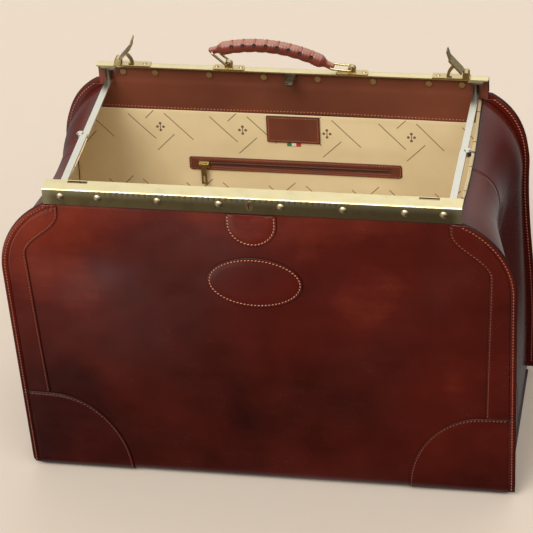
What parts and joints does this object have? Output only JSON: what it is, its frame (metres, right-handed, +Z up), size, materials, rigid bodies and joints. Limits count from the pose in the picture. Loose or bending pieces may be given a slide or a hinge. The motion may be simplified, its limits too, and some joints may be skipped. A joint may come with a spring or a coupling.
{
  "type": "hinged-frame travel bag",
  "caption": "Large leather travel bag with a hinged metal frame, folding stays, end latches, top handle, centre lock and lined interior with a zip pocket.",
  "frame": {"origin": "on the table, under the middle of the bag", "axes": "+Z up, +X along the frame, -Y the bag's front with the lock, +Y the side that carries the handle"},
  "size_m": [0.526, 0.258, 0.401],
  "materials": {
    "bridle_leather": "glossy red-brown waxed leather with lighter stitching",
    "lining_cloth": "matt woven cream lining",
    "frame_brass": "antique brass plating, brushed",
    "stay_steel": "zinc-plated flat links",
    "dark_steel": "dark blued steel",
    "board": "fibre board",
    "ribbon": "woven ribbon",
    "zip_brass": "dark brass zip",
    "lacing_leather": "narrow leather thong"
  },
  "bodies": {
    "bag_base": {"base_leather": "bridle_leather", "bottom_board": "board", "base_lining": "lining_cloth", "gusset_left": "bridle_leather", "gusset_right": "bridle_leather", "gusset_lining_left": "lining_cloth", "gusset_lining_right": "lining_cloth"},
    "front_panel": {"front_leather": "bridle_leather", "front_lining": "lining_cloth", "front_facing": "bridle_leather", "front_side_strip_left": "bridle_leather", "front_side_strip_right": "bridle_leather", "front_corner_patch_left": "bridle_leather", "front_corner_patch_right": "bridle_leather", "name_oval": "bridle_leather", "lock_tab": "bridle_leather"},
    "back_panel": {"back_leather": "bridle_leather", "back_lining": "lining_cloth", "back_facing": "bridle_leather", "back_side_strip_left": "bridle_leather", "back_side_strip_right": "bridle_leather", "back_corner_patch_left": "bridle_leather", "back_corner_patch_right": "bridle_leather", "pocket_bag": "lining_cloth", "zip_surround": "bridle_leather", "zip_tape": "lining_cloth", "zip_teeth": "zip_brass", "label_patch": "bridle_leather", "label_ribbon": "ribbon"},
    "front_jaw": {"front_jaw_bar": "frame_brass", "front_top_hem": "bridle_leather", "front_rivets": "frame_brass", "lock_case": "dark_steel", "keyhole_plate": "frame_brass", "front_stay_tabs": "dark_steel", "front_stay_pins": "dark_steel"},
    "back_jaw": {"back_jaw_bar": "frame_brass", "back_top_hem": "bridle_leather", "back_rivets": "frame_brass", "lock_hasp": "dark_steel", "back_stay_tabs": "dark_steel", "back_stay_pins": "dark_steel", "latch_plates": "frame_brass", "latch_pins": "frame_brass", "handle_posts": "frame_brass", "plate_rivets": "frame_brass"},
    "front_stay_left": {"front_stay_link_left": "stay_steel"},
    "front_stay_right": {"front_stay_link_right": "stay_steel"},
    "back_stay_left": {"back_stay_link_left": "stay_steel"},
    "back_stay_right": {"back_stay_link_right": "stay_steel"},
    "latch_left": {"latch_lever_left": "frame_brass"},
    "latch_right": {"latch_lever_right": "frame_brass"},
    "lock_bolt_slide": {"lock_bolt": "dark_steel"},
    "handle_ring_left": {"handle_ring_left": "frame_brass"},
    "handle_ring_right": {"handle_ring_right": "frame_brass"},
    "handle": {"handle_grip": "bridle_leather", "handle_lacing": "lacing_leather"},
    "zip_slider_run": {"zip_slider": "zip_brass"},
    "zip_pull_tab": {"zip_puller": "zip_brass"}
  },
  "joints": [
    {"name": "frame_fold", "type": "hinge", "parent": "bag_base", "child": "front_panel", "pos_m": [0, -0.1118, 0.0036], "axis": [-1, 0, 0], "range_deg": [0, 19.07], "deforming": ["gusset_left", "gusset_right", "gusset_lining_left", "gusset_lining_right"]},
    {"name": "back_fold", "type": "hinge", "parent": "bag_base", "child": "back_panel", "pos_m": [0, 0.1118, 0.0036], "axis": [1, 0, 0], "range_deg": [0, 19.08]},
    {"name": "front_jaw_level", "type": "hinge", "parent": "front_panel", "child": "front_jaw", "pos_m": [0, -0.1244, 0.3464], "axis": [1, 0, 0], "range_deg": [0, 19.08]},
    {"name": "back_jaw_level", "type": "hinge", "parent": "back_panel", "child": "back_jaw", "pos_m": [0, 0.1244, 0.3464], "axis": [-1, 0, 0], "range_deg": [0, 19.08]},
    {"name": "front_stay_turn_left", "type": "hinge", "parent": "front_jaw", "child": "front_stay_left", "pos_m": [-0.197, -0.1165, 0.3517], "axis": [0, 0, -1], "range_deg": [0, 90.02]},
    {"name": "front_stay_turn_right", "type": "hinge", "parent": "front_jaw", "child": "front_stay_right", "pos_m": [0.197, -0.1165, 0.3517], "axis": [0, 0, 1], "range_deg": [0, 90.02]},
    {"name": "back_stay_turn_left", "type": "hinge", "parent": "back_jaw", "child": "back_stay_left", "pos_m": [-0.197, 0.117, 0.3485], "axis": [0, 0, 1], "range_deg": [0, 90.02]},
    {"name": "back_stay_turn_right", "type": "hinge", "parent": "back_jaw", "child": "back_stay_right", "pos_m": [0.197, 0.117, 0.3485], "axis": [0, 0, -1], "range_deg": [0, 90.02]},
    {"name": "latch_turn_left", "type": "hinge", "parent": "back_jaw", "child": "latch_left", "pos_m": [-0.1865, 0.122, 0.3708], "axis": [0, 1, 0], "range_deg": [0, 50]},
    {"name": "latch_turn_right", "type": "hinge", "parent": "back_jaw", "child": "latch_right", "pos_m": [0.1865, 0.122, 0.3708], "axis": [0, -1, 0], "range_deg": [0, 50]},
    {"name": "lock_throw", "type": "slide", "parent": "front_jaw", "child": "lock_bolt_slide", "axis": [1, 0, 0], "range_m": [0, 0.0035]},
    {"name": "handle_lift", "type": "hinge", "parent": "back_jaw", "child": "handle_ring_left", "pos_m": [-0.066, 0.1215, 0.3715], "axis": [0, 1, 0], "range_deg": [0, 53.7]},
    {"name": "handle_swing", "type": "hinge", "parent": "handle_ring_left", "child": "handle", "pos_m": [-0.08246, 0.1215, 0.38684], "axis": [0, -1, 0], "range_deg": [0, 59.77]},
    {"name": "handle_follow", "type": "hinge", "parent": "back_jaw", "child": "handle_ring_right", "pos_m": [0.066, 0.1215, 0.3715], "axis": [0, 1, 0], "range_deg": [0, 78.31]},
    {"name": "zip_run", "type": "slide", "parent": "back_panel", "child": "zip_slider_run", "axis": [1, 0, 0], "range_m": [0, 0.199]},
    {"name": "zip_pull", "type": "hinge", "parent": "zip_slider_run", "child": "zip_pull_tab", "pos_m": [-0.1, 0.11252, 0.24819], "axis": [-1, 0, 0], "range_deg": [0, 100]}
  ],
  "couplings": [
    {"joint": "back_fold", "follows": "frame_fold", "ratio": 1},
    {"joint": "front_jaw_level", "follows": "frame_fold", "ratio": 1},
    {"joint": "back_jaw_level", "follows": "frame_fold", "ratio": 1},
    {"joint": "front_stay_turn_left", "follows": "frame_fold", "ratio": 4.7192},
    {"joint": "front_stay_turn_right", "follows": "frame_fold", "ratio": 4.7192},
    {"joint": "back_stay_turn_left", "follows": "frame_fold", "ratio": 4.7192},
    {"joint": "back_stay_turn_right", "follows": "frame_fold", "ratio": 4.7192},
    {"joint": "handle_swing", "follows": "handle_lift", "ratio": 1.1129},
    {"joint": "handle_follow", "follows": "handle_lift", "ratio": 1.4581}
  ]
}
